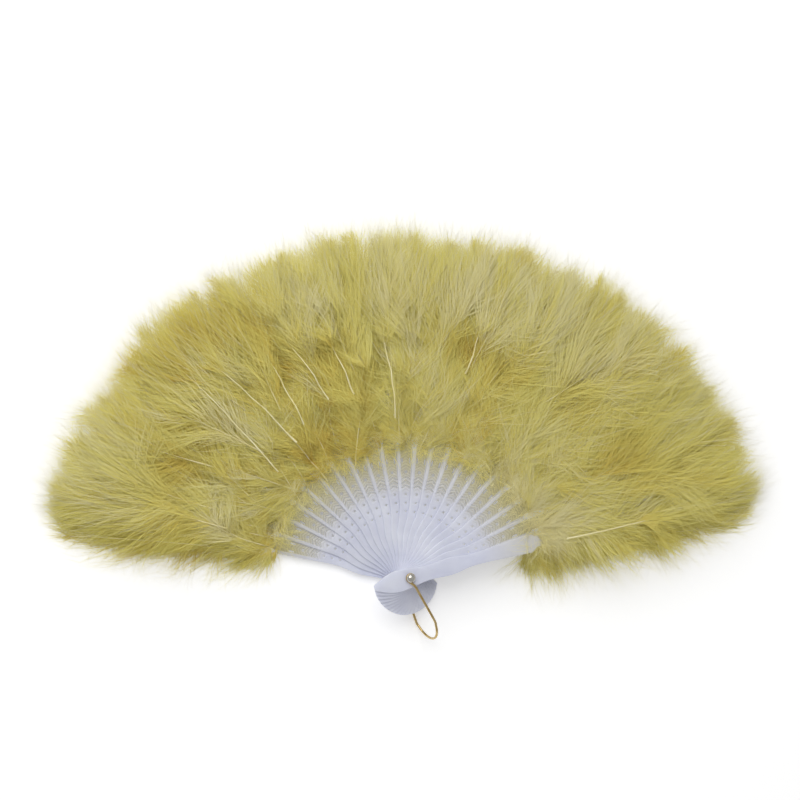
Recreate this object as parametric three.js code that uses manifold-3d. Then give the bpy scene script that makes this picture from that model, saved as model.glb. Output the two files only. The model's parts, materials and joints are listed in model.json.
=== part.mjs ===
// Folding feather fan, open and lying flat with its front up.
// Millimetres and degrees. The pivot's axis is Z, the table is z = 0, and the open fan points along +Y.
import * as THREE from "three";
import { mergeVertices } from "three/addons/utils/BufferGeometryUtils.js";
import Module from "manifold-3d";

// The opened set of staves, from the front guard at the right to the rear guard at the left
const STAVE_COUNT = 21;
const SPREAD = 150;
const STAVE_THICKNESS = 0.8;
const GUARD_THICKNESS = 1.2;
const LAYER_GAP = 0.25;

// A stave's outline: full widths, and where they lie along it from the pivot
const TAIL_LENGTH = 24;
const TAIL_ROUND = 1.8;
const TAIL_END_WIDTH = 5.2;
const TAIL_WIDTH = 13.6;
const TAIL_WIDEST_AT = -9;
const NECK_WIDTH = 9.4;
const NECK_AT = 11;
const BELLY_WIDTH = 11.2;
const BELLY_AT = 28;
const WAIST_WIDTH = 7.8;
const WAIST_AT = 43;
const BLADE_WIDTH = 9.8;
const BLADE_AT = 62;
const SHOULDER_WIDTH = 12.2;
const SHOULDER_AT = 82;
const SHOULDER_LENGTH = 4;
const TANG_WIDTH = 7;
const TANG_TIP_WIDTH = 5;
const TANG_LENGTH = 62;

// Piercing of the staves under the front guard, on their centre lines
const DOT_COUNT = 3;
const FIRST_DOT_AT = 41.8;
const DOT_STEP = 5.5;
const FIRST_DOT_DIAMETER = 1.1;
const DOT_GROWTH = 0.15;
const SLIT_PAIRS = 3;
const FIRST_SLIT_AT = 58;
const SLIT_STEP = 2.6;
const SLIT_REACH = 2.8;
const SLIT_FALL = 1.8;
const SLIT_WIDTH = 0.6;
const SLIT_SPINE = 0.9;
const EYELET_AT = 66.8;
const EYELET_DIAMETER = 2;
const PETAL_LENGTH = 4;
const PETAL_WIDTH = 1.2;
const PETAL_OFFSET = 2.5;
const PETAL_AT = 74;

// Rivet and bail
const PIN_DIAMETER = 2.6;
const BORE_GAP = 0.25;
const HEAD_DIAMETER = 5.6;
const HEAD_HEIGHT = 2;
const CAP_DIAMETER = 6;
const CAP_HEIGHT = 1.4;
const CAP_FLOOR = 0.5;
const CAP_FIT = 0.1;
const SEAT_GAP = 0.2;
const WIRE_DIAMETER = 1.6;
const BAIL_LENGTH = 44;
const BAIL_ANGLE = 300;
const BAIL_TWIST = 11;

// Feather tufts, which are longest at the sides of the open fan
const TUFT_SEAT = 1;
const MIDDLE_TUFT_LENGTH = 139;
const SIDE_TUFT_GROWTH = 14;
const FRONT_TUFT_GROWTH = 12;
const TUFT_GAP = 0.5;
const TUFT_ROOT_RISE = 8;
const TUFT_ROOT_SAG = 3;
const TUFT_TOP_COVER = 8;
const TUFT_TAPER_LENGTH = 60;
const TUFT_ROUND_LENGTH = 22;
const TUFT_TIP_SHARE = 0.45;
const TUFT_SWELL_SHARE = 0.5;
const GUARD_TUFT_REACH = 34;
const GUARD_SWELL_SHARE = 0.3;
const POCKET_GAP = 0.3;

// Facets
const EDGE_STEPS_PER_SPAN = 2;
const BORE_SIDES = 12;
const DOT_SIDES = 6;
const EYELET_SIDES = 8;
const LATHE_SIDES = 24;
const DOME_STEPS = 4;
const WIRE_SIDES = 8;
const EYE_STEPS = 18;
const BEND_STEPS = 14;

// Layers, from the table up
const PITCH = SPREAD / (STAVE_COUNT - 1);
const INNER_COUNT = STAVE_COUNT - 2;
const LAYER = STAVE_THICKNESS + LAYER_GAP;
const WIRE_RADIUS = WIRE_DIAMETER / 2;
const REAR_EYE_HEIGHT = CAP_HEIGHT + SEAT_GAP + WIRE_RADIUS;
const STACK_BOTTOM = REAR_EYE_HEIGHT + WIRE_RADIUS + SEAT_GAP;
const FIRST_INNER_BOTTOM = STACK_BOTTOM + GUARD_THICKNESS + LAYER_GAP;
const FRONT_GUARD_BOTTOM = FIRST_INNER_BOTTOM + INNER_COUNT * LAYER;
const STACK_TOP = FRONT_GUARD_BOTTOM + GUARD_THICKNESS;
const FRONT_EYE_HEIGHT = STACK_TOP + SEAT_GAP + WIRE_RADIUS;
const HEAD_BASE = FRONT_EYE_HEIGHT + WIRE_RADIUS + SEAT_GAP;

// Distances along a stave
const TANG_START = SHOULDER_AT + SHOULDER_LENGTH;
const TANG_END = TANG_START + TANG_LENGTH;
const TUFT_ROOT = TANG_START + TUFT_SEAT;
const TUFT_TOP = STACK_TOP + TUFT_TOP_COVER;

const { lerp, smoothstep, degToRad } = THREE.MathUtils;
const UP = new THREE.Vector3(0, 0, 1);

const plastic = new THREE.MeshStandardMaterial({ color: 0xdde2ee, roughness: 0.3, metalness: 0 });
const nickel = new THREE.MeshStandardMaterial({ color: 0xdcdcd8, roughness: 0.15, metalness: 1 });
const gilt = new THREE.MeshStandardMaterial({ color: 0xc8a35a, roughness: 0.28, metalness: 1 });
const down = new THREE.MeshStandardMaterial({ color: 0x9c8b50, roughness: 0.95, metalness: 0 });

const wasm = await Module();
wasm.setup();

// Closed geometry to solid and back, for joins and cuts

function toSolid(geometry) {
  const bare = geometry.clone();
  bare.deleteAttribute("normal");
  bare.deleteAttribute("uv");
  const merged = mergeVertices(bare, 1e-4);
  const vertProperties = merged.attributes.position.array;
  const triVerts = new Uint32Array(merged.index.array);
  return new wasm.Manifold(new wasm.Mesh({ numProp: 3, vertProperties, triVerts }));
}

function toGeometry(solid) {
  const { vertProperties, triVerts } = solid.getMesh();
  const geometry = new THREE.BufferGeometry();
  geometry.setAttribute("position", new THREE.BufferAttribute(vertProperties, 3));
  geometry.setIndex(new THREE.BufferAttribute(triVerts, 1));
  geometry.computeVertexNormals();
  return geometry;
}

function plate(shape, thickness) {
  return new THREE.ExtrudeGeometry(shape, { depth: thickness, bevelEnabled: false });
}

// Staves

function roundHole(along, diameter, sides) {
  const corner = (_, i) => {
    const turn = (2 * Math.PI * i) / sides;
    return new THREE.Vector2(Math.cos(turn), Math.sin(turn)).multiplyScalar(diameter / 2);
  };
  const points = Array.from({ length: sides }, corner);
  return new THREE.Path(points.map((p) => p.add(new THREE.Vector2(0, along))));
}

// One cut of the herringbone, falling from the spine: on its right for side 1, on its left for side -1.
function slit(along, side) {
  const near = side * SLIT_SPINE / 2;
  const far = side * SLIT_REACH;
  const points = [
    new THREE.Vector2(near, along),
    new THREE.Vector2(far, along - SLIT_FALL),
    new THREE.Vector2(far, along - SLIT_FALL + SLIT_WIDTH),
    new THREE.Vector2(near, along + SLIT_WIDTH),
  ];
  return new THREE.Path(points);
}

function petal(side) {
  const centre = side * PETAL_OFFSET;
  const points = [
    new THREE.Vector2(centre, PETAL_AT - PETAL_LENGTH / 2),
    new THREE.Vector2(centre + PETAL_WIDTH / 2, PETAL_AT),
    new THREE.Vector2(centre, PETAL_AT + PETAL_LENGTH / 2),
    new THREE.Vector2(centre - PETAL_WIDTH / 2, PETAL_AT),
  ];
  return new THREE.Path(points);
}

function piercing() {
  const holes = [roundHole(EYELET_AT, EYELET_DIAMETER, EYELET_SIDES), petal(1), petal(-1)];
  for (let i = 0; i < DOT_COUNT; i++) {
    const diameter = FIRST_DOT_DIAMETER + i * DOT_GROWTH;
    holes.push(roundHole(FIRST_DOT_AT + i * DOT_STEP, diameter, DOT_SIDES));
  }
  for (let i = 0; i < SLIT_PAIRS; i++) {
    const along = FIRST_SLIT_AT + i * SLIT_STEP;
    holes.push(slit(along, 1), slit(along, -1));
  }
  return holes;
}

// Right edge from the middle of the tail to the shoulder. Its first point, on the left, keeps the tail round.
function rightEdge() {
  const tailCorner = -TAIL_LENGTH + TAIL_ROUND;
  const along = [
    [-TAIL_END_WIDTH, tailCorner],
    [0, -TAIL_LENGTH],
    [TAIL_END_WIDTH, tailCorner],
    [TAIL_WIDTH, TAIL_WIDEST_AT],
    [NECK_WIDTH, NECK_AT],
    [BELLY_WIDTH, BELLY_AT],
    [WAIST_WIDTH, WAIST_AT],
    [BLADE_WIDTH, BLADE_AT],
    [SHOULDER_WIDTH, SHOULDER_AT],
  ];
  const spline = new THREE.SplineCurve(along.map(([width, y]) => new THREE.Vector2(width / 2, y)));
  const points = spline.getPoints(EDGE_STEPS_PER_SPAN * (along.length - 1));
  return points.slice(EDGE_STEPS_PER_SPAN);
}

function mirrored(points) {
  return points.map((p) => new THREE.Vector2(-p.x, p.y)).reverse();
}

function staveShape(pierced) {
  const right = [
    ...rightEdge(),
    new THREE.Vector2(TANG_WIDTH / 2, TANG_START),
    new THREE.Vector2(TANG_TIP_WIDTH / 2, TANG_END),
  ];
  const shape = new THREE.Shape([...right, ...mirrored(right.slice(1))]);
  shape.holes.push(roundHole(0, PIN_DIAMETER + 2 * BORE_GAP, BORE_SIDES));
  if (pierced) shape.holes.push(...piercing());
  return shape;
}

// Tufts

// Points of a tuft's cross-section: share of the half width, and share of the height.
const TUFT_SECTION = [
  [-0.6, 0],
  [0.6, 0],
  [1, 0.22],
  [1, 0.62],
  [0.55, 1],
  [-0.55, 1],
  [-1, 0.62],
  [-1, 0.22],
];
const TUFT_STATIONS = [0, 0.09, 0.2, 0.33, 0.5, 0.65, 0.78, 0.89, 0.96, 1];

// A closed skin over rings of points that run from the root to the tip.
function loft(rings) {
  const sides = rings[0].length;
  const positions = rings.flat().flatMap((p) => [p.x, p.y, p.z]);
  const faces = [];
  for (let r = 0; r + 1 < rings.length; r++) {
    for (let i = 0; i < sides; i++) {
      const a = r * sides + i;
      const b = r * sides + ((i + 1) % sides);
      faces.push(a, a + sides, b, b, a + sides, b + sides);
    }
  }
  const last = (rings.length - 1) * sides;
  for (let i = 1; i + 1 < sides; i++) {
    faces.push(0, i, i + 1, last, last + i + 1, last + i);
  }
  const geometry = new THREE.BufferGeometry();
  geometry.setAttribute("position", new THREE.Float32BufferAttribute(positions, 3));
  geometry.setIndex(faces);
  return geometry;
}

// Half width of the wedge that a tuft may fill between the middle planes to its neighbours.
function wedgeHalf(along) {
  const half = degToRad(PITCH / 2);
  return along * Math.tan(half) - TUFT_GAP / 2 / Math.cos(half);
}

function guardTuftHalf(along, share) {
  return lerp(wedgeHalf(along), GUARD_TUFT_REACH, smoothstep(share, 0, GUARD_SWELL_SHARE));
}

// Distance from the pivot to the tip of the tuft on a stave turned from the middle. Left turns are positive.
function tuftTip(turn) {
  const aside = Math.sin(degToRad(turn)) ** 2;
  const toFront = turn < 0 ? aside ** 2 : 0;
  return TUFT_ROOT + MIDDLE_TUFT_LENGTH + SIDE_TUFT_GROWTH * aside + FRONT_TUFT_GROWTH * toFront;
}

// Share of its size that a tuft keeps near its tip, which rounds off over a length as an ellipse does.
function rounding(fromTip, length) {
  const into = Math.max(0, length - fromTip) / length;
  return Math.sqrt(1 - (1 - TUFT_TIP_SHARE ** 2) * into ** 2);
}

// Tuft on the stave whose underside is at bottom. It swells from that layer to the full depth of the fan.
// outer is 1 or -1 for the side on which a guard's tuft has no neighbour, and 0 on an inner stave.
function tuft(bottom, thickness, outer, turn) {
  const tip = tuftTip(turn);
  const rings = TUFT_STATIONS.map((share) => {
    const along = lerp(TUFT_ROOT, tip, share);
    const swell = smoothstep(share, 0, TUFT_SWELL_SHARE);
    const fullLow = lerp(bottom - TUFT_ROOT_SAG, 0, swell);
    const fullHigh = lerp(bottom + thickness + TUFT_ROOT_RISE, TUFT_TOP, swell);
    const middle = (fullLow + fullHigh) / 2;
    const halfDepth = ((fullHigh - fullLow) / 2) * rounding(tip - along, TUFT_TAPER_LENGTH);
    const narrowing = rounding(tip - along, TUFT_ROUND_LENGTH);
    return TUFT_SECTION.map(([side, rise]) => {
      const open = Math.sign(side) === outer;
      const half = open ? guardTuftHalf(along, share) : wedgeHalf(along);
      const height = lerp(middle - halfDepth, middle + halfDepth, rise);
      return new THREE.Vector3(side * half * narrowing, along, height);
    });
  });
  return toSolid(loft(rings)).subtract(tangPocket(bottom, thickness));
}

// The space that a tang takes up in its tuft, open at the root.
function tangPocket(bottom, thickness) {
  const end = TANG_END + POCKET_GAP;
  const right = [
    new THREE.Vector2(TANG_WIDTH / 2 + POCKET_GAP, TANG_START),
    new THREE.Vector2(TANG_TIP_WIDTH / 2 + POCKET_GAP, end),
  ];
  const pocket = plate(new THREE.Shape([...right, ...mirrored(right)]), thickness + 2 * POCKET_GAP);
  return toSolid(pocket.translate(0, 0, bottom - POCKET_GAP));
}

// Rivet and bail

function pivotPin() {
  const radius = PIN_DIAMETER / 2;
  const profile = [
    new THREE.Vector2(0, CAP_FLOOR + CAP_FIT),
    new THREE.Vector2(radius, CAP_FLOOR + CAP_FIT),
    new THREE.Vector2(radius, HEAD_BASE),
  ];
  for (let i = 0; i <= DOME_STEPS; i++) {
    const rise = (Math.PI / 2) * (i / DOME_STEPS);
    const reach = i < DOME_STEPS ? (HEAD_DIAMETER / 2) * Math.cos(rise) : 0;
    profile.push(new THREE.Vector2(reach, HEAD_BASE + HEAD_HEIGHT * Math.sin(rise)));
  }
  return new THREE.LatheGeometry(profile, LATHE_SIDES).rotateX(Math.PI / 2);
}

function rivetCap() {
  const bore = PIN_DIAMETER / 2 + CAP_FIT;
  const rim = CAP_DIAMETER / 2;
  const edge = CAP_HEIGHT - CAP_FLOOR;
  const profile = [
    new THREE.Vector2(0, 0),
    new THREE.Vector2(rim, 0),
    new THREE.Vector2(rim, CAP_FLOOR),
    new THREE.Vector2(rim - edge / 2, CAP_HEIGHT),
    new THREE.Vector2(bore, CAP_HEIGHT),
    new THREE.Vector2(bore, CAP_FLOOR),
    new THREE.Vector2(0, CAP_FLOOR),
  ];
  return new THREE.LatheGeometry(profile, LATHE_SIDES).rotateX(Math.PI / 2);
}

// The bail: an eye on each end of the pin, two legs and a round bend, twisted so that its rear leg lags.
function bail() {
  const eyeRadius = PIN_DIAMETER / 2 + BORE_GAP + WIRE_RADIUS;
  const bendRadius = (FRONT_EYE_HEIGHT - REAR_EYE_HEIGHT) / 2;
  const middle = (FRONT_EYE_HEIGHT + REAR_EYE_HEIGHT) / 2;
  const bendStart = BAIL_LENGTH - WIRE_RADIUS - bendRadius;
  const lagging = (point, share) => point.applyAxisAngle(UP, -degToRad(BAIL_TWIST) * share);
  const path = [new THREE.Vector3(eyeRadius, 0, FRONT_EYE_HEIGHT)];
  for (let i = 0; i <= BEND_STEPS; i++) {
    const turn = Math.PI * (0.5 - i / BEND_STEPS);
    const out = bendStart + bendRadius * Math.cos(turn);
    const point = new THREE.Vector3(out, 0, middle + bendRadius * Math.sin(turn));
    path.push(lagging(point, i / BEND_STEPS));
  }
  path.push(lagging(new THREE.Vector3(eyeRadius, 0, REAR_EYE_HEIGHT), 1));
  const wire = toSolid(wireAlong(path));
  const eye = new THREE.TorusGeometry(eyeRadius, WIRE_RADIUS, WIRE_SIDES, EYE_STEPS);
  const frontEye = toSolid(eye.clone().translate(0, 0, FRONT_EYE_HEIGHT));
  const rearEye = toSolid(eye.clone().translate(0, 0, REAR_EYE_HEIGHT));
  return toGeometry(wire.add(frontEye).add(rearEye));
}

// Round wire through points about the pin's axis, with its joints square to the path.
function wireAlong(path) {
  const rings = path.map((point, i) => {
    const before = path[Math.max(i - 1, 0)];
    const after = path[Math.min(i + 1, path.length - 1)];
    const ahead = after.clone().sub(before).normalize();
    const across = new THREE.Vector3(-point.y, point.x, 0).cross(ahead).normalize();
    const aside = ahead.clone().cross(across);
    return Array.from({ length: WIRE_SIDES }, (_, side) => {
      const turn = (2 * Math.PI * side) / WIRE_SIDES;
      const out = point.clone().addScaledVector(aside, WIRE_RADIUS * Math.cos(turn));
      return out.addScaledVector(across, WIRE_RADIUS * Math.sin(turn));
    });
  });
  return loft(rings);
}

// The open fan

function named(name, geometry, material) {
  const mesh = new THREE.Mesh(geometry, material);
  mesh.name = name;
  return mesh;
}

// A stave with its tuft, turned about the pivot. place counts from the front guard.
function staveWithTuft(place, staveName, tuftName) {
  const isFront = place === 0;
  const isRear = place === STAVE_COUNT - 1;
  const thickness = isFront || isRear ? GUARD_THICKNESS : STAVE_THICKNESS;
  const innerBottom = FIRST_INNER_BOTTOM + (INNER_COUNT - place) * LAYER;
  const bottom = isFront ? FRONT_GUARD_BOTTOM : isRear ? STACK_BOTTOM : innerBottom;
  const outer = isFront ? 1 : isRear ? -1 : 0;
  const group = new THREE.Group();
  const turn = place * PITCH - SPREAD / 2;
  const stave = named(staveName, plate(staveShape(!isFront), thickness), plastic);
  stave.position.z = bottom;
  group.add(stave, named(tuftName, toGeometry(tuft(bottom, thickness, outer, turn)), down));
  group.rotation.z = degToRad(turn);
  return group;
}

const fan = new THREE.Group();
fan.add(staveWithTuft(0, "front_guard", "front_guard_tuft"));
for (let place = 1; place <= INNER_COUNT; place++) {
  const number = String(place).padStart(2, "0");
  fan.add(staveWithTuft(place, `inner_stave_${number}`, `feather_tuft_${number}`));
}
fan.add(staveWithTuft(STAVE_COUNT - 1, "rear_guard", "rear_guard_tuft"));
fan.add(named("pivot_pin", pivotPin(), nickel));
fan.add(named("rivet_cap", rivetCap(), nickel));
const bailMesh = named("wire_bail", bail(), gilt);
bailMesh.rotation.z = degToRad(BAIL_ANGLE);
fan.add(bailMesh);

export default fan;
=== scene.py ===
# Folding feather fan, open on a table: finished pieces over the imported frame, then camera, light and floor.
import json
import math
import bpy
import numpy as np
from mathutils import Matrix, Vector


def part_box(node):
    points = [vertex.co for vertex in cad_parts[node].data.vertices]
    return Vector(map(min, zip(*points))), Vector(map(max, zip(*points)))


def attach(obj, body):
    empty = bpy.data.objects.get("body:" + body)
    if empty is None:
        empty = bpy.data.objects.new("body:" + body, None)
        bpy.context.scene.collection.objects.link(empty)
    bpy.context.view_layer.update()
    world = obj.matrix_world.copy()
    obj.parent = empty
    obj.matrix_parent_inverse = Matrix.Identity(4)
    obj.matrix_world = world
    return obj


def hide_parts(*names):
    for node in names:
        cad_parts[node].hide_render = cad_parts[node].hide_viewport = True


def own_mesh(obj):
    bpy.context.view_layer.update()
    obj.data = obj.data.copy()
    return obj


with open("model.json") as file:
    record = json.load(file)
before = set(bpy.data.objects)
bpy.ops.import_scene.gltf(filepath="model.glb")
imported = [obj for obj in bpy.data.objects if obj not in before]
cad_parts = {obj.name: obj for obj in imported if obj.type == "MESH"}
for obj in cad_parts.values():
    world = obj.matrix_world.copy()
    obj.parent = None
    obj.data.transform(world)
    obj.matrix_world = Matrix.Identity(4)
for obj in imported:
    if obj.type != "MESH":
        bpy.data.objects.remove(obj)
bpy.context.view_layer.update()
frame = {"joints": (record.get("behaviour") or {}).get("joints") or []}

MM = 0.001

# Sizes of the staves in millimetres and degrees: full widths, and where they lie along a stave from the pivot
PIN_BORE = 3.1
TAIL_LENGTH = 24.0
TAIL_ROUND = 1.8
TAIL_END_WIDTH = 5.2
SHOULDER_AT = 82.0
TANG_START = 86.0
TANG_END = 148.0
TANG_WIDTH = 7.0
TANG_TIP_WIDTH = 5.0
SIDE_WIDTHS = [(13.6, -9.0), (9.4, 11.0), (11.2, 28.0), (7.8, 43.0), (9.8, 62.0), (12.2, SHOULDER_AT)]
EDGE_STEPS = 7
EDGE_ROUNDING = 0.3

# Piercing of a stave: place along it, and size
DOTS = [(41.8, 1.1), (47.3, 1.25), (52.8, 1.4)]
EYELET = (66.8, 2.0)
SLITS_AT = [58.0, 60.6, 63.2]
SLIT_REACH = 2.8
SLIT_FALL = 1.8
SLIT_WIDTH = 0.6
SLIT_SPINE = 0.9
PETAL_AT = 74.0
PETAL_LENGTH = 4.0
PETAL_WIDTH = 1.2
PETAL_OFFSET = 2.5

# Rivet and bail
PIN_RADIUS = 1.3
HEAD_RADIUS = 2.8
DOME_STEPS = 8
SEAT_GAP = 0.2
CAP_FLOOR = 0.5
CAP_FIT = 0.1
WIRE_RADIUS = 0.8
EYE_RADIUS = 2.35
BAIL_ANGLE = 300.0
BAIL_TWIST = 11.0
BAIL_LENGTH = 44.0

STAVE_COUNT = 21
REAR = STAVE_COUNT - 1
SPREAD = next(j["range_deg"][1] for j in frame["joints"] if j["name"] == "fan_fold")
FIRST_ANGLE = 90.0 - SPREAD / 2
PITCH = SPREAD / REAR


def leaf_names(place):
    """Body, stave node, tuft node and joint of the stave at a place that counts from the front guard."""
    if place == 0:
        return "front_leaf", "front_guard", "front_guard_tuft", "fan_fold"
    if place == REAR:
        return "rear_leaf", "rear_guard", "rear_guard_tuft", "fan_fold"
    number = f"{place:02d}"
    return f"leaf_{number}", f"inner_stave_{number}", f"feather_tuft_{number}", f"leaf_{number}_turn"


def turned(place):
    """Matrix that takes a stave drawn along +Y at z = 0 to its place in the open fan."""
    low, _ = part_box(leaf_names(place)[1])
    turn = math.radians(FIRST_ANGLE + place * PITCH - 90.0)
    return Matrix.Translation((0, 0, low.z)) @ Matrix.Rotation(turn, 4, "Z")


# Materials

def linear(hex_colour):
    """sRGB hex value as linear RGBA."""
    shares = [int(hex_colour[i:i + 2], 16) / 255 for i in (1, 3, 5)]
    return [s / 12.92 if s <= 0.04045 else ((s + 0.055) / 1.055) ** 2.4 for s in shares] + [1.0]


def add_node(material, kind, inputs=None, **settings):
    """Adds a node with its settings. Each input is a value, or a socket to link from."""
    tree = material.node_tree
    made = tree.nodes.new(kind)
    for name, value in settings.items():
        setattr(made, name, value)
    for socket, value in (inputs or {}).items():
        if isinstance(value, bpy.types.NodeSocket):
            tree.links.new(value, made.inputs[socket])
        else:
            made.inputs[socket].default_value = value
    return made


def set_stops(ramp, stops):
    """Colour stops of a ramp node, as (place, sRGB hex)."""
    elements = ramp.color_ramp.elements
    while len(elements) < len(stops):
        elements.new(0.5)
    for element, (place, colour) in zip(elements, stops):
        element.position = place
        element.color = linear(colour)


def new_material(name):
    material = bpy.data.materials.new(name)
    material.use_nodes = True
    material.node_tree.nodes.clear()
    return material


def marabou_down():
    """Dyed marabou: matt, very fine barbs that let some light through, golden at the root and pale at the
    tip. The barbs shade each other, so their own colours are lighter than the feather looks."""
    m = new_material("dyed_marabou_down")
    barb = add_node(m, "ShaderNodeAttribute", attribute_name="barb")
    split = add_node(m, "ShaderNodeSeparateXYZ", {"Vector": barb.outputs["Vector"]})
    root = add_node(m, "ShaderNodeValToRGB", {"Fac": split.outputs["X"]})
    set_stops(root, [(0.0, "#d0a33c"), (0.3, "#ecd56a"), (0.65, "#f5e98a"), (1.0, "#fbf2c0")])
    tip = add_node(m, "ShaderNodeValToRGB", {"Fac": split.outputs["X"]})
    # The last stop paints a grey shade on loose ends past the tuft, which look grey against the white table.
    set_stops(tip, [(0.0, "#f2e272"), (0.3, "#f8f088"), (0.65, "#fcf69a"), (0.88, "#fef9cc"),
                    (1.0, "#d2d0be")])
    colour = add_node(m, "ShaderNodeMix", {
        "Factor": split.outputs["Y"], 6: root.outputs["Color"], 7: tip.outputs["Color"]}, data_type="RGBA")
    # The barbules' fuzz, drawn at 1.5 mm because the real 0.05 mm is too fine to show.
    place = add_node(m, "ShaderNodeTexCoord")
    fuzz = add_node(m, "ShaderNodeTexNoise", {"Vector": place.outputs["Object"], "Scale": 1 / (1.5 * MM)})
    bump = add_node(m, "ShaderNodeBump", {
        "Height": fuzz.outputs["Fac"], "Strength": 0.15, "Distance": 0.1 * MM})
    surface = add_node(m, "ShaderNodeBsdfPrincipled", {
        "Base Color": colour.outputs[2], "Roughness": 0.75, "Specular IOR Level": 0.06, "Sheen Weight": 0.05,
        "Sheen Roughness": 0.5, "Sheen Tint": linear("#fbf4d8"), "Normal": bump.outputs[0]})
    # Light crosses two walls of a barb, so each wall takes half of the dye's depth.
    half_dye = add_node(m, "ShaderNodeGamma", {"Color": colour.outputs[2], "Gamma": 0.5})
    through = add_node(m, "ShaderNodeBsdfTranslucent", {"Color": half_dye.outputs["Color"]})
    both = add_node(m, "ShaderNodeMixShader", {"Fac": 0.12, 1: surface.outputs[0], 2: through.outputs[0]})
    add_node(m, "ShaderNodeOutputMaterial", {"Surface": both.outputs[0]})
    return m


def quill_keratin():
    """Feather quill: smooth straw-coloured keratin with a soft gloss, faintly mottled every 6 mm or so."""
    m = new_material("straw_quill_keratin")
    place = add_node(m, "ShaderNodeTexCoord")
    mottle = add_node(m, "ShaderNodeTexNoise", {
        "Vector": place.outputs["Object"], "Scale": 180.0, "Detail": 2.0})
    ramp = add_node(m, "ShaderNodeValToRGB", {"Fac": mottle.outputs["Fac"]})
    set_stops(ramp, [(0.3, "#f0e3a2"), (0.7, "#fcf5cc")])
    bump = add_node(m, "ShaderNodeBump", {
        "Height": mottle.outputs["Fac"], "Strength": 0.1, "Distance": 0.1 * MM})
    surface = add_node(m, "ShaderNodeBsdfPrincipled", {
        "Base Color": ramp.outputs["Color"], "Roughness": 0.35, "Normal": bump.outputs[0]})
    add_node(m, "ShaderNodeOutputMaterial", {"Surface": surface.outputs[0]})
    return m


def stave_polystyrene():
    """Moulded polystyrene: cool white and milky, satin. The blades are painted with the down's yellowish
    light where it would shine through the thin plastic. A fine herringbone is moulded into the middle of each
    blade."""
    m = new_material("white_moulded_polystyrene")
    place = add_node(m, "ShaderNodeTexCoord")
    cloud = add_node(m, "ShaderNodeTexNoise", {
        "Vector": place.outputs["Object"], "Scale": 1 / (16 * MM), "Detail": 3.0})
    cool = add_node(m, "ShaderNodeValToRGB", {"Fac": cloud.outputs["Fac"]})
    set_stops(cool, [(0.3, "#d9dcf0"), (0.7, "#e8ebfc")])
    blade = add_node(m, "ShaderNodeAttribute", attribute_name="blade")
    split = add_node(m, "ShaderNodeSeparateXYZ", {"Vector": blade.outputs["Vector"]})
    # A sunk panel in the middle of the blade, between plain rims
    away = add_node(m, "ShaderNodeMath", {0: split.outputs["X"]}, operation="ABSOLUTE")
    lean = add_node(m, "ShaderNodeMath", {0: away.outputs[0], 1: split.outputs["Y"]}, operation="DIVIDE")
    middle = add_node(m, "ShaderNodeMapRange", {
        "Value": lean.outputs[0], "From Min": 0.05, "From Max": 0.044})
    start = add_node(m, "ShaderNodeMapRange", {
        "Value": split.outputs["Y"], "From Min": 48.0, "From Max": 60.0}, interpolation_type="SMOOTHSTEP")
    sunk = add_node(m, "ShaderNodeMath", {0: middle.outputs[0], 1: start.outputs[0]}, operation="MULTIPLY")
    panel = add_node(m, "ShaderNodeMath", {0: sunk.outputs[0], 1: split.outputs["Z"]}, operation="MULTIPLY")
    # Painted light: the down's yellowish light through the thin blades, growing towards the down and
    # strongest in the sunk panel
    thin = add_node(m, "ShaderNodeMapRange", {
        "Value": split.outputs["Y"], "From Min": 40.0, "From Max": 84.0}, interpolation_type="SMOOTHSTEP")
    share = add_node(m, "ShaderNodeMath", {0: panel.outputs[0], 1: 0.55, 2: 0.45}, operation="MULTIPLY_ADD")
    painted_down_light = add_node(m, "ShaderNodeMath", {0: thin.outputs[0], 1: share.outputs[0]}, operation="MULTIPLY")
    tint = add_node(m, "ShaderNodeMix", {
        "Factor": painted_down_light.outputs[0], 6: cool.outputs["Color"], 7: linear("#c8c092")}, data_type="RGBA")
    # Herringbone ribs 1.9 mm apart, falling from the spine; their grooves are darkened with painted shade
    slant = add_node(m, "ShaderNodeMath", {0: away.outputs[0], 1: 0.64, 2: split.outputs["Y"]},
                     operation="MULTIPLY_ADD")
    ribs = add_node(m, "ShaderNodeMath", {0: slant.outputs[0], 1: 0.95}, operation="PINGPONG")
    cut = add_node(m, "ShaderNodeMath", {0: ribs.outputs[0], 1: panel.outputs[0]}, operation="MULTIPLY")
    painted_groove_shade = add_node(m, "ShaderNodeMapRange", {
        "Value": cut.outputs[0], "From Min": 0.35, "From Max": 0.95, "To Max": 0.42})
    colour = add_node(m, "ShaderNodeMix", {
        "Factor": painted_groove_shade.outputs[0], 6: tint.outputs[2], 7: linear("#938d67")}, data_type="RGBA")
    rough = add_node(m, "ShaderNodeMapRange", {"Value": cloud.outputs["Fac"], "To Min": 0.3, "To Max": 0.45})
    depth = add_node(m, "ShaderNodeMath", {0: cut.outputs[0], 1: panel.outputs[0]}, operation="ADD")
    bump = add_node(m, "ShaderNodeBump", {"Height": depth.outputs[0], "Strength": 0.4, "Distance": 0.2 * MM},
                    invert=True)
    # Mould grain, drawn at 0.6 mm because the real 0.05 mm is too fine to show
    grain = add_node(m, "ShaderNodeTexNoise", {"Vector": place.outputs["Object"], "Scale": 1 / (0.6 * MM)})
    satin = add_node(m, "ShaderNodeBump", {
        "Height": grain.outputs["Fac"], "Strength": 0.1, "Distance": 0.05 * MM, "Normal": bump.outputs[0]})
    surface = add_node(m, "ShaderNodeBsdfPrincipled", {
        "Base Color": colour.outputs[2], "Roughness": rough.outputs[0], "IOR": 1.59,
        "Subsurface Weight": 0.5, "Subsurface Radius": (1, 1, 1), "Subsurface Scale": 2 * MM,
        "Normal": satin.outputs[0]})
    add_node(m, "ShaderNodeOutputMaterial", {"Surface": surface.outputs[0]})
    return m


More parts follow.
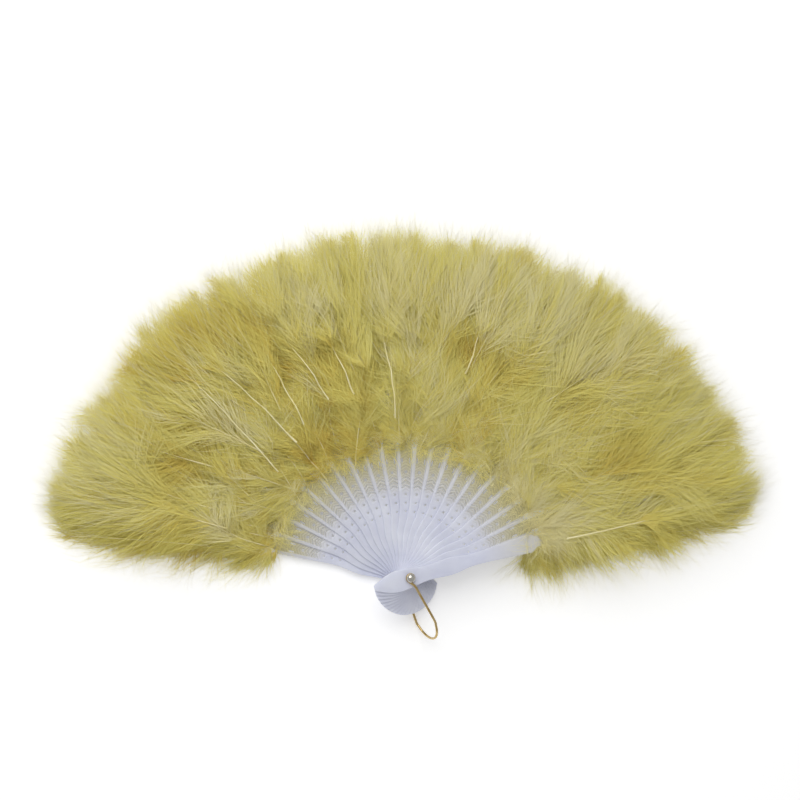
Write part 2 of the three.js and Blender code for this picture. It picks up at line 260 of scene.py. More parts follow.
def polished_metal(name, dark, light, smooth, worn):
    """Polished and plated metal: bright reflections, lightly rubbed in patches of about 3 mm."""
    m = new_material(name)
    place = add_node(m, "ShaderNodeTexCoord")
    wear = add_node(m, "ShaderNodeTexNoise", {
        "Vector": place.outputs["Object"], "Scale": 1 / (3 * MM), "Detail": 3.0})
    ramp = add_node(m, "ShaderNodeValToRGB", {"Fac": wear.outputs["Fac"]})
    set_stops(ramp, [(0.3, dark), (0.7, light)])
    rough = add_node(m, "ShaderNodeMapRange", {
        "Value": wear.outputs["Fac"], "To Min": smooth, "To Max": worn})
    bump = add_node(m, "ShaderNodeBump", {
        "Height": wear.outputs["Fac"], "Strength": 0.08, "Distance": 0.1 * MM})
    surface = add_node(m, "ShaderNodeBsdfPrincipled", {
        "Base Color": ramp.outputs["Color"], "Metallic": 1.0, "Roughness": rough.outputs[0],
        "Normal": bump.outputs[0]})
    add_node(m, "ShaderNodeOutputMaterial", {"Surface": surface.outputs[0]})
    return m


DOWN = marabou_down()
QUILL = quill_keratin()
PLASTIC = stave_polystyrene()
GILT = polished_metal("gilt_brass_wire", "#b0914f", "#dcc592", 0.12, 0.26)
NICKEL = polished_metal("nickel_plated_steel", "#c6c2ba", "#d8d5cc", 0.1, 0.2)


# Staves

def smooth_edge(points, steps):
    """Points of a smooth edge through the given points."""
    p = np.array([points[0], *points, points[-1]], float)
    t = np.linspace(0, 1, steps, endpoint=False)[:, None]
    spans = []
    for a, b, c, d in zip(p, p[1:], p[2:], p[3:]):
        leave, arrive = (c - a) / 2, (d - b) / 2
        spans.append((2 * b - 2 * c + leave + arrive) * t ** 3
                     + (3 * c - 3 * b - 2 * leave - arrive) * t ** 2 + leave * t + b)
    return np.vstack(spans + [p[-1:]])


def ring_of(centre, diameter, sides):
    turn = np.linspace(0, 2 * np.pi, sides, endpoint=False)
    return np.stack([np.cos(turn), np.sin(turn)], 1) * diameter / 2 + [0, centre]


def stave_outline():
    tail = -TAIL_LENGTH + TAIL_ROUND
    widths = [(-TAIL_END_WIDTH, tail), (0, -TAIL_LENGTH), (TAIL_END_WIDTH, tail), *SIDE_WIDTHS]
    right = smooth_edge([(w / 2, y) for w, y in widths], EDGE_STEPS)[EDGE_STEPS:]
    right = np.vstack([right, [(TANG_WIDTH / 2, TANG_START), (TANG_TIP_WIDTH / 2, TANG_END)]])
    return np.vstack([right, (right[1:] * [-1, 1])[::-1]])


def piercing():
    holes = [ring_of(at, size, 14) for at, size in DOTS] + [ring_of(*EYELET, 20)]
    for side in (-1, 1):
        near, far = side * SLIT_SPINE / 2, side * SLIT_REACH
        for at in SLITS_AT:
            holes.append(np.array([(near, at), (far, at - SLIT_FALL),
                                   (far, at - SLIT_FALL + SLIT_WIDTH), (near, at + SLIT_WIDTH)]))
        turn = np.linspace(0, np.pi, 8, endpoint=False)
        bow = np.stack([np.sin(turn) * PETAL_WIDTH / 2, -np.cos(turn) * PETAL_LENGTH / 2], 1)
        holes.append(np.vstack([bow, -bow]) + [side * PETAL_OFFSET, PETAL_AT])
    return holes


def only(obj):
    """Makes obj the one selected, active object."""
    bpy.ops.object.select_all(action="DESELECT")
    obj.select_set(True)
    bpy.context.view_layer.objects.active = obj


def moulded_stave(name, pierced, thickness):
    """A stave drawn as a flat curve with rounded edges, along +Y, from z = 0 up."""
    curve = bpy.data.curves.new(name, "CURVE")
    curve.dimensions = "2D"
    curve.fill_mode = "BOTH"
    holes = [ring_of(0, PIN_BORE, 24)] + (piercing() if pierced else [])
    for loop in [stave_outline()] + holes:
        spline = curve.splines.new("POLY")
        spline.points.add(len(loop) - 1)
        flat = np.zeros((len(loop), 4))
        flat[:, :2] = loop * MM
        flat[:, 3] = 1
        spline.points.foreach_set("co", flat.ravel())
        spline.use_cyclic_u = True
    curve.bevel_depth = EDGE_ROUNDING * MM
    curve.bevel_resolution = 2
    curve.offset = -EDGE_ROUNDING * MM
    curve.extrude = thickness / 2 - EDGE_ROUNDING * MM
    stave = bpy.data.objects.new(name, curve)
    bpy.context.scene.collection.objects.link(stave)
    only(stave)
    bpy.ops.object.convert(target="MESH")
    stave = bpy.context.object
    stave.data.transform(Matrix.Translation((0, 0, thickness / 2)))
    bpy.ops.object.mode_set(mode="EDIT")
    bpy.ops.mesh.select_all(action="SELECT")
    bpy.ops.mesh.remove_doubles(threshold=0.005 * MM)
    bpy.ops.mesh.normals_make_consistent(inside=False)
    bpy.ops.object.mode_set(mode="OBJECT")
    bpy.ops.object.shade_smooth_by_angle(angle=math.radians(35))
    mesh = stave.data
    where = np.empty(3 * len(mesh.vertices))
    mesh.vertices.foreach_get("co", where)
    where = where.reshape(-1, 3) / MM
    where[:, 2] = pierced
    mesh.attributes.new("blade", "FLOAT_VECTOR", "POINT").data.foreach_set("vector", where.ravel())
    mesh.materials.clear()
    mesh.materials.append(PLASTIC)
    return stave


def thickness_of(place):
    low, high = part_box(leaf_names(place)[1])
    return high.z - low.z


def place_piece(obj, body, slot, *nodes):
    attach(obj, body)
    if nodes:
        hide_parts(*nodes)


def make_staves():
    patterns = [moulded_stave("front_pattern", False, thickness_of(0)),
                moulded_stave("inner_pattern", True, thickness_of(1)),
                moulded_stave("rear_pattern", True, thickness_of(REAR))]
    for place in range(STAVE_COUNT):
        body, node, _, _ = leaf_names(place)
        mesh = patterns[0 if place == 0 else 2 if place == REAR else 1].data.copy()
        mesh.transform(turned(place))
        stave = bpy.data.objects.new(f"moulded_{node}", mesh)
        bpy.context.scene.collection.objects.link(stave)
        place_piece(stave, body, "stave_plastic", node)
    for pattern in patterns:
        bpy.data.objects.remove(pattern)


# Rivet and bail

def spun(name, profile, material):
    """A round piece about the pivot's axis, spun from its half section of (radius, height) points."""
    mesh = bpy.data.meshes.new(name)
    points = [(r * MM, 0, z * MM) for r, z in profile]
    mesh.from_pydata(points, [(i, i + 1) for i in range(len(points) - 1)], [])
    piece = bpy.data.objects.new(name, mesh)
    bpy.context.scene.collection.objects.link(piece)
    only(piece)
    bpy.ops.object.mode_set(mode="EDIT")
    bpy.ops.mesh.select_all(action="SELECT")
    bpy.ops.mesh.spin(steps=48, angle=2 * math.pi, center=(0, 0, 0), axis=(0, 0, 1))
    bpy.ops.mesh.select_all(action="SELECT")
    bpy.ops.mesh.remove_doubles(threshold=0.001 * MM)
    bpy.ops.mesh.normals_make_consistent(inside=False)
    bpy.ops.object.mode_set(mode="OBJECT")
    bpy.ops.object.shade_smooth_by_angle(angle=math.radians(40))
    mesh.materials.append(material)
    return piece


def make_rivet():
    low, high = (c.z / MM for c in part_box("pivot_pin"))
    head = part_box("wire_bail")[1].z / MM + SEAT_GAP
    rise = np.linspace(0.12, 1, DOME_STEPS + 1)[:-1] * math.pi / 2
    dome = [(HEAD_RADIUS * math.cos(a), head + (high - head) * math.sin(a)) for a in rise] + [(0, high)]
    profile = [(0, low), (PIN_RADIUS - 0.3, low), (PIN_RADIUS, low + 0.3), (PIN_RADIUS, head),
               (HEAD_RADIUS - 0.1, head), (HEAD_RADIUS, head + 0.1), *dome]
    place_piece(spun("domed_rivet", profile, NICKEL), "rear_leaf", "nickel_steel", "pivot_pin")
    cap_low, cap_high = (c.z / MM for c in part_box("rivet_cap"))
    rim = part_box("rivet_cap")[1].x / MM
    bore = PIN_RADIUS + CAP_FIT
    lip = rim - (cap_high - CAP_FLOOR) / 2
    profile = [(0, cap_low), (rim - 0.2, cap_low), (rim, cap_low + 0.2), (rim, CAP_FLOOR), (rim - 0.15, 0.95),
               (lip, cap_high), (bore, cap_high), (bore, CAP_FLOOR), (0, CAP_FLOOR)]
    place_piece(spun("clinched_cap", profile, NICKEL), "rear_leaf", "nickel_steel", "rivet_cap")


def make_bail():
    """One round wire: the eye under the rivet's head, a leg, the twisted bend, a leg and the rear eye."""
    low, high = (c.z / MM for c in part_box("wire_bail"))
    front, rear = high - WIRE_RADIUS, low + WIRE_RADIUS
    round_eye = np.radians(np.arange(48, 318, 18))
    eye = np.stack([np.cos(round_eye), np.sin(round_eye), 0 * round_eye], 1) * EYE_RADIUS
    bend = (front - rear) / 2
    around = np.radians(np.arange(90, -91, -15))
    bow = np.stack([BAIL_LENGTH - WIRE_RADIUS - bend + bend * np.cos(around), 0 * around,
                    rear + bend + bend * np.sin(around)], 1)
    leg = [(4.6, -0.5, 0), (6.4, -0.05, 0), (9.0, 0, 0), (16.0, 0, 0)]
    path = np.vstack([eye + [0, 0, front], np.array(leg) + [0, 0, front], bow,
                      np.array(leg)[::-1] + [0, 0, rear], eye[::-1] + [0, 0, rear]])
    ends = len(eye) + len(leg)
    lag = np.concatenate([np.zeros(ends), np.linspace(0, 1, len(bow)), np.ones(ends)])
    turn = np.radians(BAIL_ANGLE - BAIL_TWIST * lag)
    path[:, :2] = np.stack([path[:, 0] * np.cos(turn) - path[:, 1] * np.sin(turn),
                            path[:, 0] * np.sin(turn) + path[:, 1] * np.cos(turn)], 1)
    path = smooth_edge(path, 4)
    curve = bpy.data.curves.new("gilt_wire_bail", "CURVE")
    curve.dimensions = "3D"
    curve.bevel_depth = WIRE_RADIUS * MM
    curve.bevel_resolution = 4
    curve.use_fill_caps = True
    spline = curve.splines.new("POLY")
    spline.points.add(len(path) - 1)
    co = np.ones((len(path), 4))
    co[:, :3] = path * MM
    spline.points.foreach_set("co", co.ravel())
    wire = bpy.data.objects.new(curve.name, curve)
    bpy.context.scene.collection.objects.link(wire)
    only(wire)
    bpy.ops.object.convert(target="MESH")
    wire = bpy.context.object
    bpy.ops.object.shade_smooth_by_angle(angle=math.radians(40))
    wire.data.materials.clear()
    wire.data.materials.append(GILT)
    place_piece(wire, "bail", "gilt_metal", "wire_bail")


# Feathers

FRONT, BACK = 1, -1
# Where a barb's root, its two rings and its tip lie along it
STATIONS = np.array([0.0, 0.3, 0.66, 1.0])
# Columns of the down's UV map, one for each step of tone
TONE_BINS = 64
# Heights above the table past which barbs are held down, and under which they are held up
CROWN = 36.0
LEAST_HEIGHT = 2.5
# Shares of the barbs that hang loose from their locks, and that grow out as long wisps
LOOSE_SHARE = 0.45
WISP_SHARE = 0.14
WISP_GROWTH = 1.7
# A barb's least and greatest radius, and how its section is flattened across and upwards
BARB_RADII = (0.07, 0.12)
FLATNESS = (1.35, 0.65)
# Tones of the palest barbs in the tuft, and of wisps that stray past it, which are painted a grey shade
PALEST_TONE = 0.88
STRAY_GREY_SHADE_TONE = 0.97
# Height at which the painted shade for a barb's depth leaves its tone as it is:
# lower barbs are painted darker, higher ones lighter
EVEN_HEIGHT = 26.0
# How far a tuft's barbs end short of its reach on the centre line, and how its end is rounded off aside
END_MARGIN = 10.0
END_ROUNDING = 0.013
# How far the front of the down slopes to the table along the free side of a guard
GUARD_SLOPE = 16.0
# How far the down stands out beside the front guard (-1) and the rear guard (1), by distance from the pivot
FREE_SIDES = {-1: ([70, 88, 107, 123, 163, 188, 216, 250], [5, 19, 31, 27, 28, 31, 28, 18]),
              1: ([80, 90, 119, 138, 165, 198, 225, 250], [3, 6, 21, 25, 28, 27, 23, 15])}
# How far the feathers of each leaf reach from the pivot, from the front guard on
REACHES = [254, 251, 246, 248, 241, 240, 232, 231, 227, 221, 227,
           228, 230, 227, 230, 232, 239, 238, 235, 243, 240]
# Three smooth fields over the fan, each the sum of six waves: their directions and phases
WAVES = np.random.default_rng(41).normal(0, 1, (3, 6, 3))
# Golden hollows and pale patches in the front of the down: distance from the pivot, fan angle and change of
# tone. A hollow's negative change is painted shade, and its barbs are pushed down into it as well.
# Each fades out over the same distance.
PALE_PATCHES_AND_SHADED_HOLLOWS = [(198, 141, -0.3), (203, 134, -0.2), (181, 122, -0.25), (155, 120, -0.3), (148, 112, -0.3),
           (142, 62, -0.25), (142, 70, -0.25), (145, 77, -0.3), (157, 46, -0.3), (158, 28, -0.25),
           (166, 155, -0.3), (108, 119, -0.2), (168, 132, 0.3), (215, 106, 0.15), (210, 88, 0.12),
           (225, 152, 0.15)]
PATCH_FADE = 13.0


def patch_tone_and_shade(points):
    """Change of tone at points over the fan: painted shade in the golden hollows, paler tone in the pale
    patches.
    """
    total = np.zeros(len(points))
    for far, angle, change in PALE_PATCHES_AND_SHADED_HOLLOWS:
        turn = math.radians(angle)
        away = np.hypot(points[:, 0] - far * math.cos(turn), points[:, 1] - far * math.sin(turn))
        total += change * np.exp(-(away / PATCH_FADE) ** 2)
    return total


def sway(points, kind, size):
    """A smooth field over the fan, about -1 to 1, with swells of the given size in millimetres."""
    total = np.zeros(len(points))
    for across, along, phase in WAVES[kind]:
        total += np.sin((across * points[:, 0] + along * points[:, 1]) * 2.2 / size + 9 * phase)
    return total / 2.4


class Plume:
    """One marabou feather on a leaf. Its quill starts at a place along and aside of the stave, has a heading
    and a bend in degrees, and a height at its start, middle and end. Its barbs leave a share of it bare, hang
    in locks, and end at the fringe of the tuft, or at the free (outer) side of a guard."""

    def __init__(self, at, side, heading, length, heights, face, barbs, barb_length, bend, bare=0.03, locks=9,
                 tone=0.5, fringe=300.0, fine=1.0, outer=0):
        self.at = at
        self.side = side
        self.heading = math.radians(heading)
        self.length = length
        self.heights = heights
        self.face = face
        self.barbs = barbs
        self.barb_length = barb_length
        self.bend = math.radians(bend)
        self.bare = bare
        self.locks = locks
        self.tone = tone
        self.fringe = fringe
        self.fine = fine
        self.outer = outer

    def quill(self, s):
        """Points on the quill, in the leaf's own frame: along, aside, up."""
        turn = self.heading + self.bend * s / 2
        low, mid, high = self.heights
        control = 2 * mid - (low + high) / 2
        up = (1 - s) ** 2 * low + 2 * s * (1 - s) * control + s ** 2 * high
        return np.stack([self.at + self.length * s * np.cos(turn),
                         self.side + self.length * s * np.sin(turn), up], -1)


def soft_limit(height):
    """Keeps barbs off the table and under the fluff's crown, without a hard edge."""
    height = np.where(height > CROWN, CROWN + 0.2 * (height - CROWN), height)
    low = LEAST_HEIGHT - 0.3 * (LEAST_HEIGHT - height)
    return np.maximum(np.where(height < LEAST_HEIGHT, low, height), 0.4)


def ease(value, low, high):
    """0 below low, 1 above high, smooth between."""
    t = np.clip((value - low) / (high - low), 0, 1)
    return t * t * (3 - 2 * t)


def dip(points):
    """Depth of the hollows in the front of the down at points over the fan, in millimetres."""
    return 5 * ease(sway(points, 2, 11.0), 0, 1) + 12 * np.maximum(-patch_tone_and_shade(points), 0)


def barbs_of(plume, axes, rng):
    """Centre points, ring radii and tone of a plume's barbs, which hang together in loose locks."""
    n = plume.barbs
    # Places along the quill, on either side of it. Each lock has its own directions, length and tone.
    s = plume.bare + (1 - plume.bare) * rng.random(n) ** 0.8
    side = rng.choice((-1.0, 1.0), n)
    share = (s - plume.bare) / (1 - plume.bare)
    lock = np.minimum((share * plume.locks).astype(int), plume.locks - 1) + plume.locks * (side > 0)
    yaw, pitch, curl, reach, tone = rng.normal(0, 1, (5, 2 * plume.locks))[:, lock]
    loose = rng.random(n) < LOOSE_SHARE
    wisp = rng.random(n) < WISP_SHARE
    stray = np.where(wisp, rng.uniform(6, 24, n), rng.normal(4, 4, n))
    # Barbs leave the quill at a splayed angle and rise off the leaf, less so at the quill's end.
    end = ease(s, 0.7, 1.0)
    heading = plume.heading + plume.bend * s
    splay = (0.85 - 0.35 * s) * np.where(loose, rng.uniform(0.1, 1.4, n), rng.uniform(0.6, 1.15, n))
    splay += end * (rng.uniform(-0.1, 1.15, n) - splay)
    rise = 0.1 * pitch + np.where(loose, rng.normal(0.32, 0.22, n), rng.normal(0.24, 0.12, n))
    rise *= 1 - 0.6 * end
    length = plume.barb_length * (0.6 + 0.5 * np.sin(np.pi * (0.12 + 0.72 * s)))
    length *= (1 + 0.1 * reach) * rng.uniform(0.65, 1.15, n) * np.where(wisp, WISP_GROWTH, 1.0)
    # From its root, each barb curls with its lock and droops again.
    points = np.empty((n, 4, 3))
    points[:, 0] = plume.quill(s)
    ground = points[:, 0] @ axes
    yaw = 0.16 * yaw + 0.26 * sway(ground, 0, 30.0) + 0.14 * sway(ground, 2, 14.0)
    for k in range(3):
        q = (STATIONS[k] + STATIONS[k + 1]) / 2
        step = STATIONS[k + 1] - STATIONS[k]
        turn = heading + side * splay * (1 - 0.6 * q) + yaw + 0.5 * curl * (q - 0.2)
        turn += rng.normal(0, 0.06, n) + np.where(loose, rng.normal(0, 0.14, n), 0)
        lift = plume.face * rise * (1 - 1.35 * q) + rng.normal(0, 0.035, n)
        way = np.stack([np.cos(lift) * np.cos(turn), np.cos(lift) * np.sin(turn), np.sin(lift)], -1)
        points[:, k + 1] = points[:, k] + way * (length * step)[:, None]
    if plume.face == FRONT:
        points[:, :, 2] -= dip(points.reshape(-1, 3) @ axes).reshape(n, 4)
        points[:, :, 2] -= GUARD_SLOPE * ease(plume.outer * points[:, :, 1], 2, 26)
    points[:, :, 2] = soft_limit(points[:, :, 2])
    trim_to_tuft(points, plume, stray)
    tip = np.hypot(points[:, 3, 0], points[:, 3, 1])
    fringe = ease(tip, plume.fringe - 8, plume.fringe + 6)
    radius = plume.fine * rng.uniform(*BARB_RADII, n) * np.where(wisp, 0.9, 1.0) * (1 - 0.25 * fringe)
    # Painted shade and light: deep barbs are painted darker and high ones lighter,
    # except near the fringe, where light comes in from the side.
    depth = np.clip(0.013 * (points[:, 2, 2] - EVEN_HEIGHT), -0.18, 0.08)
    depth *= 1 - ease(tip, plume.fringe - 45, plume.fringe - 15)
    # The golden hollows in the front of the down are painted darker with shade; the pale patches are paler.
    depth += patch_tone_and_shade(points[:, 1] @ axes) if plume.face == FRONT else 0
    shade = (plume.tone + depth + 0.08 * tone + 0.2 * (tone > 1.6) + 0.13 * sway(ground, 1, 26.0)
             + rng.normal(0, 0.03, n))
    return points, radius, np.where(wisp & (fringe > 0.6), STRAY_GREY_SHADE_TONE, np.clip(shade, 0, PALEST_TONE))


def trim_to_tuft(points, plume, stray):
    """Shortens barbs that run past the tuft's rounded end or its free side by more than they may stray."""
    root, tip = points[:, 0], points[:, 3]
    root_far, far = np.hypot(root[:, 0], root[:, 1]), np.hypot(tip[:, 0], tip[:, 1])
    edge = plume.fringe - END_MARGIN - END_ROUNDING * tip[:, 1] ** 2 + stray
    keep = np.where(far > edge, (edge - root_far) / np.maximum(far - root_far, 1), 1)
    if plume.outer:
        side = np.interp(far, *FREE_SIDES[plume.outer]) + 1.5 * np.sin(far / 4) + stray
        out, root_out = plume.outer * tip[:, 1], plume.outer * root[:, 1]
        keep = np.minimum(keep, np.where(out > side, (side - root_out) / np.maximum(out - root_out, 1), 1))
    points[:] = root[:, None] + (points - root[:, None]) * np.clip(keep, 0.2, 1)[:, None, None]


def leaf_axes(place):
    """Rows are a leaf's own directions in the open fan: along, aside, up."""
    turn = math.radians(FIRST_ANGLE + place * PITCH)
    along = [math.cos(turn), math.sin(turn), 0]
    aside = [-math.sin(turn), math.cos(turn), 0]
    return np.array([along, aside, [0, 0, 1]])


def barb_mesh(name, points, radius, tone):
    """Closed three-sided barbs: a point at the root, two rings and a point at the tip."""
    n = len(points)
    verts = np.empty((n, 8, 3))
    verts[:, 0] = points[:, 0]
    verts[:, 7] = points[:, 3]
    roll = np.arange(3) * 2 * np.pi / 3 + np.pi / 2
    for ring, station in ((0, 1), (1, 2)):
        ahead = points[:, station + 1] - points[:, station - 1]
        ahead /= np.linalg.norm(ahead, axis=1, keepdims=True)
        across = np.cross(ahead, [0, 0, 1.0])
        across /= np.maximum(np.linalg.norm(across, axis=1, keepdims=True), 1e-6)
        above = np.cross(ahead, across)
        size = radius * (1.0 if ring == 0 else 0.6)
        for j in range(3):
            offset = FLATNESS[0] * np.cos(roll[j]) * across + FLATNESS[1] * np.sin(roll[j]) * above
            verts[:, 1 + 3 * ring + j] = points[:, station] + offset * size[:, None]
    faces = [(0, 2, 1), (0, 3, 2), (0, 1, 3), (1, 2, 5, 4), (2, 3, 6, 5), (3, 1, 4, 6),
             (4, 5, 7), (5, 6, 7), (6, 4, 7)]
    loops = np.array([v for face in faces for v in face])
    starts = np.cumsum([0] + [len(face) for face in faces])[:-1]
    mesh = bpy.data.meshes.new(name)
    mesh.vertices.add(8 * n)
    mesh.vertices.foreach_set("co", (verts * MM).ravel())
    mesh.loops.add(len(loops) * n)
    mesh.loops.foreach_set("vertex_index", (loops + 8 * np.arange(n)[:, None]).ravel())
    mesh.polygons.add(len(faces) * n)
    mesh.polygons.foreach_set("loop_start", (starts + len(loops) * np.arange(n)[:, None]).ravel())
    mesh.polygons.foreach_set("use_smooth", np.zeros(len(faces) * n, bool))
    mesh.update(calc_edges=True)
    bins = (np.floor(np.clip(tone, 0, 0.999) * TONE_BINS) + 0.5) / TONE_BINS
    along = STATIONS[[0, 1, 1, 1, 2, 2, 2, 3]]
    barb = np.zeros((n, 8, 3))
    barb[:, :, 0] = bins[:, None]
    barb[:, :, 1] = along
    mesh.attributes.new("barb", "FLOAT_VECTOR", "POINT").data.foreach_set("vector", barb.ravel())
    aside = np.array([0, -1, 0, 1, -1, 0, 1, 0]) * 0.3 / TONE_BINS
    layout = np.stack([bins[:, None] + aside, np.broadcast_to(0.02 + 0.96 * along, (n, 8))], -1)
    mesh.uv_layers.new(name="OFBake").data.foreach_set("uv", layout[:, loops].ravel())
    mesh.materials.append(DOWN)
    return mesh


# Bare quills that lie on top of the down: radius and fan angle of the inner end and of the outer end
BARE_QUILLS = [
    (110, 142.0, 200, 137.8), (114, 131.0, 186, 132.4), (160, 118.5, 184, 119.2), (120, 125.8, 166, 124.0),
    (125, 115.5, 168, 118.0), (122, 108.0, 158, 109.5), (118, 103.4, 138, 103.0), (102, 96.4, 156, 96.6),
    (134, 74.7, 162, 74.4), (104, 13.5, 158, 13.0),
]


def plumes_of(place, rng):
    """The marabou feathers that one leaf carries on its front and its back."""
    low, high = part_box(leaf_names(place)[1])
    top, bottom = high.z / MM + 0.8, low.z / MM - 0.8
    angle = FIRST_ANGLE + place * PITCH
    root = 84.5 - 3 * math.sin(math.radians(angle)) ** 2
    reach = REACHES[place]
    outer = {0: -1, REAR: 1}.get(place, 0)

    def tone(mean):
        return mean + 0.05 * math.cos(math.radians(angle)) + rng.normal(0, 0.1)

    plumes = []
    # Long plumes, which give the tuft its outline
    for offset in (-1, 0, 1):
        at = root + rng.uniform(16, 38)
        plumes.append(Plume(
            at, 4 * offset + rng.normal(0, 1), 3 * offset + rng.normal(0, 5), reach - rng.uniform(9, 24) - at,
            (top, rng.uniform(21, 27), rng.uniform(11, 16)), FRONT, barbs=940, barb_length=38,
            bend=rng.normal(0, 10), tone=tone(0.5), fringe=reach, outer=outer))
    # One plume on top of them
    at = root + rng.uniform(34, 70)
    plumes.append(Plume(
        at, rng.uniform(-7, 7), rng.normal(0, 15), rng.uniform(55, 80), (26, 31, 22), FRONT, barbs=500,
        barb_length=40, bend=rng.normal(0, 16), bare=0.1, locks=6, tone=tone(rng.choice((0.5, 0.56, 0.7))),
        fringe=reach, outer=outer))
    # Short plumes over the stave's shoulder
    for offset in (-1, 1):
        plumes.append(Plume(
            root + rng.uniform(-4, 5), 3 * offset + rng.normal(0, 1), 5 * offset + rng.normal(0, 16),
            rng.uniform(40, 60), (top, (top + 26) / 2 + 2, rng.uniform(24, 28)), FRONT, barbs=600,
            barb_length=31, bend=rng.normal(0, 24), locks=7, tone=tone(0.58), outer=outer))
    # Flatter plumes on the back
    for offset in (-1, 1):
        at = root + rng.uniform(18, 38)
        plumes.append(Plume(
            at, 5 * offset, 4 * offset + rng.normal(0, 3), reach - rng.uniform(16, 28) - at,
            (bottom, 7, rng.uniform(7, 10)), BACK, barbs=600, barb_length=35, bend=rng.normal(0, 7),
            tone=tone(0.5), fringe=reach, outer=outer))
    plumes.append(Plume(
        root + rng.uniform(0, 5), 0, rng.normal(0, 4), rng.uniform(46, 58), (bottom, (bottom + 7) / 2, 7),
        BACK, barbs=350, barb_length=28, bend=0, locks=6, outer=outer))
    if outer:
        # A guard's extra plumes fan out to its free side. Short puffs hang off that side, close at the root.
        spread, turn = (2.8, 110) if outer < 0 else (2.9, 66)
        for step in range(3):
            at = root + rng.uniform(8, 20)
            plumes.append(Plume(
                at, outer * (4 + 2 * step), outer * spread * (step + 0.6), reach - 16 - 4 * step - at,
                (top - 1 - step, 19 - 2 * step, 11), FRONT, barbs=900, barb_length=32,
                bend=rng.normal(0, 6), tone=tone(0.5), fringe=reach, outer=outer))
        for step in range(10):
            plumes.append(Plume(
                root + 3 * step, outer * 3, outer * (turn - 8 * step + rng.normal(0, 8)), rng.uniform(6, 12),
                (max(top - 2, 3), 15, 11), FRONT, barbs=230, barb_length=25, bend=rng.normal(0, 20),
                locks=14, tone=tone(0.7), fine=0.8, outer=outer))
        for step in range(11):
            plumes.append(Plume(
                root + 34 + 9 * step, outer * 5, outer * (64 - 3 * step + rng.normal(0, 8)),
                rng.uniform(8, 14), (max(top - 2, 3), 16, 10), FRONT, barbs=150, barb_length=27,
                bend=rng.normal(0, 20), locks=8, tone=tone(0.45), fine=0.9, fringe=reach, outer=outer))
    # Loose pale down at the root, some of which lies back over the stave's end
    for offset in (-2, -1, 0, 1, 2):
        plumes.append(Plume(
            root + rng.uniform(-4, 5), 2.6 * offset + rng.normal(0, 0.8), 20 * offset + rng.normal(0, 18),
            rng.uniform(9, 18), (top, top + 3, top + 5), FRONT, barbs=90, barb_length=19,
            bend=rng.normal(0, 20), locks=3, tone=tone(0.68), fine=0.6, outer=outer))
    for _ in range(16):
        plumes.append(Plume(
            root + rng.uniform(1, 14), rng.uniform(-9, 9), rng.uniform(100, 260), rng.uniform(2, 7),
            (top + 1, top + rng.uniform(1, 5), top + rng.uniform(1, 4)), FRONT, barbs=9,
            barb_length=rng.uniform(9, 18), bend=rng.normal(0, 25), locks=2, tone=tone(0.84), fine=0.45,
            outer=outer))
    # Quills on top that are bare but for their ends
    for inner, start, outer_end, finish in BARE_QUILLS:
        if max(0, round((start - FIRST_ANGLE) / PITCH)) == place:
            a, b = (r * np.array([math.cos(t), math.sin(t)]) for r, t in (
                (inner, math.radians(start - angle)), (outer_end, math.radians(finish - angle))))
            run = b - a
            plumes.append(Plume(
                a[0], a[1], math.degrees(math.atan2(run[1], run[0])), np.hypot(*run) * 1.12,
                (32, 38, 27) if place else (35, 40, 34), FRONT, barbs=160, barb_length=24,
                bend=rng.normal(0, 3), bare=0.75, locks=3, tone=tone(0.55)))
    return plumes


def make_quills(place, plumes, axes):
    """The quills of one leaf: tapered round shafts."""
    curve = bpy.data.curves.new(f"quills_{place:02d}", "CURVE")
    curve.dimensions = "3D"
    curve.bevel_depth = 0.5 * MM
    curve.bevel_resolution = 1
    curve.use_fill_caps = True
    s = np.linspace(0, 1, 9)
    for plume in plumes:
        if plume.length < 30:
            continue
        spline = curve.splines.new("POLY")
        spline.points.add(len(s) - 1)
        co = np.ones((len(s), 4))
        path = plume.quill(s) @ axes
        if plume.face == FRONT:
            path[:, 2] -= dip(path)
        co[:, :3] = path * MM
        spline.points.foreach_set("co", co.ravel())
        spline.points.foreach_set("radius", 1.0 - 0.7 * s)
    quills = bpy.data.objects.new(curve.name, curve)
    bpy.context.scene.collection.objects.link(quills)
    only(quills)
    bpy.ops.object.convert(target="MESH")
    quills = bpy.context.object
    bpy.ops.object.shade_smooth_by_angle(angle=math.radians(50))
    quills.data.materials.clear()
    quills.data.materials.append(QUILL)
    return quills


def make_feathers():
    for place in range(STAVE_COUNT):
        body, stave, tuft, joint = leaf_names(place)
        rng = np.random.default_rng(700 + place)
        axes = leaf_axes(place)
        plumes = plumes_of(place, rng)
        grown = [barbs_of(plume, axes, rng) for plume in plumes]
        points, radius, tone = (np.concatenate(part) for part in zip(*grown))
        mesh = barb_mesh(f"marabou_{place:02d}", points @ axes, radius, tone)
        down = bpy.data.objects.new(mesh.name, mesh)
        bpy.context.scene.collection.objects.link(down)
        place_piece(down, body, "marabou_down", tuft)
        quills = make_quills(place, plumes, axes)
        place_piece(quills, body, "marabou_down")
        for piece in (down, quills):
            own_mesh(piece)


# Camera, light and floor

CAMERA_LENS = 141.7
CAMERA_LEAN = 14.5
CAMERA_AWAY = 2.0
CAMERA_TARGET = Vector((-3.6, 112.5, 14.0)) * MM
WORLD_LIGHT = 0.45
KEY_POWER = 15.5
FLOOR_GLOW = 0.32


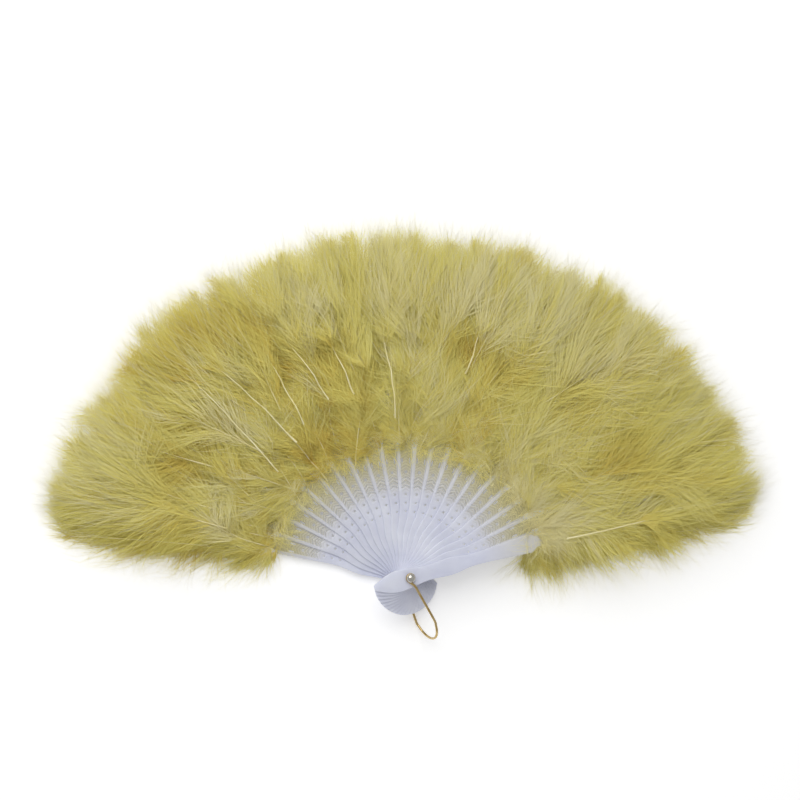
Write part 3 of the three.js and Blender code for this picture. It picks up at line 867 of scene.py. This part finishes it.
def make_camera():
    """Looks down at the open fan from a little to its left."""
    camera = bpy.data.objects.new("camera", bpy.data.cameras.new("camera"))
    bpy.context.scene.collection.objects.link(camera)
    bpy.context.scene.camera = camera
    camera.data.lens = CAMERA_LENS
    lean = math.radians(CAMERA_LEAN)
    back = Vector((-math.sin(lean), 0, math.cos(lean)))
    across = Vector((0, 1, 0)).cross(back).normalized()
    facing = Matrix((across, back.cross(across), back)).transposed().to_4x4()
    camera.matrix_world = Matrix.Translation(CAMERA_TARGET + CAMERA_AWAY * back) @ facing


def area_lamp(name, place, target, size, power):
    data = bpy.data.lights.new(name, "AREA")
    data.energy = power
    data.size = size
    lamp = bpy.data.objects.new(name, data)
    bpy.context.scene.collection.objects.link(lamp)
    lamp.location = place
    lamp.rotation_euler = (Vector(place) - Vector(target)).to_track_quat("Z", "Y").to_euler()


def make_light():
    world = bpy.data.worlds.new("studio")
    bpy.context.scene.world = world
    world.use_nodes = True
    world.node_tree.nodes["Background"].inputs["Color"].default_value = (1, 1, 1, 1)
    world.node_tree.nodes["Background"].inputs["Strength"].default_value = WORLD_LIGHT
    area_lamp("key", (-0.55, 0.95, 1.25), (0, 0.1, 0), 1.5, KEY_POWER)
    bpy.context.scene.view_settings.view_transform = "Standard"


def make_floor():
    bpy.ops.object.select_all(action="DESELECT")
    bpy.ops.mesh.primitive_plane_add(size=8.0, location=(0, 0, 0))
    floor = bpy.context.object
    floor.name = "floor"
    m = new_material("white_table")
    rays = add_node(m, "ShaderNodeLightPath")
    seen = add_node(m, "ShaderNodeMath", {0: rays.outputs["Is Camera Ray"], 1: rays.outputs["Is Glossy Ray"]},
                    operation="MAXIMUM")
    glow = add_node(m, "ShaderNodeMath", {0: seen.outputs[0], 1: FLOOR_GLOW}, operation="MULTIPLY")
    surface = add_node(m, "ShaderNodeBsdfPrincipled", {
        "Base Color": linear("#fafafa"), "Roughness": 0.9, "Specular IOR Level": 0.0,
        "Emission Color": (1, 1, 1, 1), "Emission Strength": glow.outputs[0]})
    add_node(m, "ShaderNodeOutputMaterial", {"Surface": surface.outputs[0]})
    floor.data.materials.append(m)


make_camera()
make_light()
make_floor()
make_staves()
make_rivet()
make_bail()
make_feathers()
